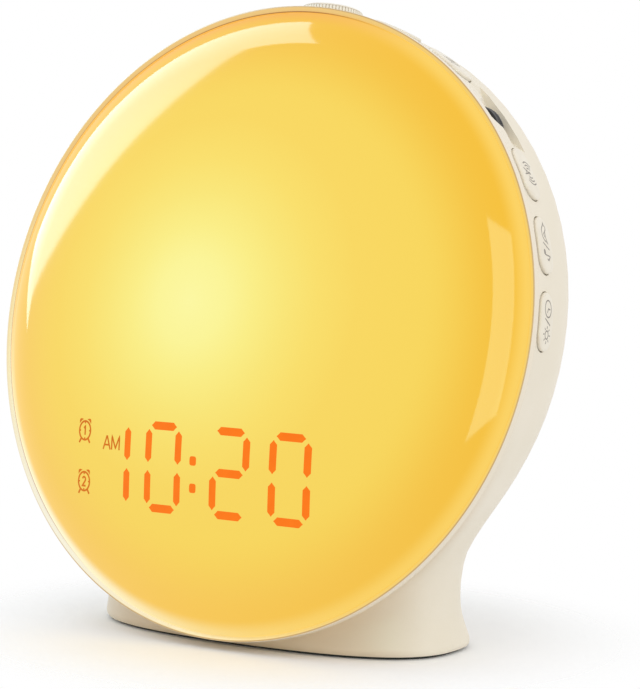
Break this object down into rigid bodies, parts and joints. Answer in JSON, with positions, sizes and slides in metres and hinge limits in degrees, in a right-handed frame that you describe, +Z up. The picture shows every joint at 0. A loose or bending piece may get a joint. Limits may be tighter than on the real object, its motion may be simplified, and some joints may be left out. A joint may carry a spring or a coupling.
{
  "type": "sunrise alarm clock",
  "caption": "Bedside sunrise alarm clock with a round lit dome front, an orange digit display, flank buttons, a volume wheel and a ribbed dial on a flared foot",
  "frame": {"origin": "on the floor under the middle of the clock's depth, in its middle plane", "axes": "+Z up, the lit front faces -Y, +X to the right as seen from the front"},
  "size_m": [0.183, 0.0797, 0.1827],
  "materials": {
    "lit_diffuser": "translucent dome, lit warm yellow from inside",
    "bezel_cream": "smooth pale lip that catches the glow",
    "housing_cream": "satin moulded case in warm off-white",
    "cover_cream": "finely textured off-white",
    "dial_cream": "satin off-white with sharp ribs",
    "button_cream": "satin off-white with small grey pictograms",
    "wheel_black": "glossy black",
    "segment_orange": "lit orange light windows",
    "segment_dark": "unlit milky light windows",
    "lamp_yellow": "phosphor-covered lamp packages",
    "inner_white": "white reflector plastic",
    "inner_dark": "black plastic",
    "board_white": "white-masked aluminium-core board",
    "board_green": "green solder mask",
    "chip_black": "moulded component body",
    "shield_metal": "tinned shield and plain shaft",
    "capacitor_sleeve": "dark blue sleeve",
    "basket_metal": "black pressed basket",
    "magnet_grey": "dull grey",
    "cone_paper": "black felted paper cone",
    "screw_steel": "zinc-plated steel",
    "black_rubber": "matt black rubber"
  },
  "bodies": {
    "clock": {"front_diffuser": "lit_diffuser", "bezel_ring": "bezel_cream", "main_housing": "housing_cream", "reflector_bowl": "inner_white", "lamp_board": "board_white", "lamp_chips": "lamp_yellow", "display_housing": "inner_dark", "lit_segments": "segment_orange", "dark_segments": "segment_dark", "display_board": "board_green", "main_board": "board_green", "processor_chip": "chip_black", "radio_module": "shield_metal", "storage_capacitor": "capacitor_sleeve", "speaker_basket": "basket_metal", "speaker_magnet": "magnet_grey", "speaker_surround": "black_rubber", "speaker_cone": "cone_paper", "dc_jack": "inner_dark", "aerial_bush": "black_rubber", "rear_cover": "cover_cream", "cover_screws": "screw_steel", "board_screws": "screw_steel", "button_board": "board_green", "button_switches": "chip_black", "volume_control": "magnet_grey", "dial_encoder": "magnet_grey", "dial_nut": "screw_steel", "base_plate": "cover_cream", "base_screws": "screw_steel", "base_pad": "black_rubber"},
    "dial": {"dial_knob": "dial_cream", "dial_shaft": "shield_metal"},
    "volume_wheel": {"volume_wheel": "wheel_black"},
    "button_time_set": {"button_time_set": "button_cream"},
    "button_sound": {"button_sound": "button_cream"},
    "button_radio": {"button_radio": "button_cream"},
    "button_alarm_two": {"button_alarm_two": "button_cream"},
    "button_alarm_one": {"button_alarm_one": "button_cream"}
  },
  "joints": [
    {"name": "button_time_set_press", "type": "slide", "parent": "clock", "child": "button_time_set", "axis": [-0.9872, -0.1579, -0.0207], "range_m": [0, 0.0008], "stiffness_N_per_m": 300, "springref_m": -0.0005},
    {"name": "button_sound_press", "type": "slide", "parent": "clock", "child": "button_sound", "axis": [-0.952, -0.1736, -0.2521], "range_m": [0, 0.0008], "stiffness_N_per_m": 300, "springref_m": -0.0005},
    {"name": "button_radio_press", "type": "slide", "parent": "clock", "child": "button_radio", "axis": [-0.8628, -0.1882, -0.4693], "range_m": [0, 0.0008], "stiffness_N_per_m": 300, "springref_m": -0.0005},
    {"name": "button_alarm_two_press", "type": "slide", "parent": "clock", "child": "button_alarm_two", "axis": [-0.5456, -0.2109, -0.8111], "range_m": [0, 0.0008], "stiffness_N_per_m": 300, "springref_m": -0.0005},
    {"name": "button_alarm_one_press", "type": "slide", "parent": "clock", "child": "button_alarm_one", "axis": [-0.3363, -0.2177, -0.9163], "range_m": [0, 0.0008], "stiffness_N_per_m": 300, "springref_m": -0.0005},
    {"name": "volume_turn", "type": "hinge", "parent": "clock", "child": "volume_wheel", "pos_m": [0.05895, 0.00445, 0.14476], "axis": [0, -0.9751, 0.2215], "range_deg": [-135, 135]},
    {"name": "dial_turn", "type": "hinge", "parent": "clock", "child": "dial", "pos_m": [0, 0.0225, 0.17684], "axis": [0, 0.2215, 0.9751], "continuous": true}
  ]
}
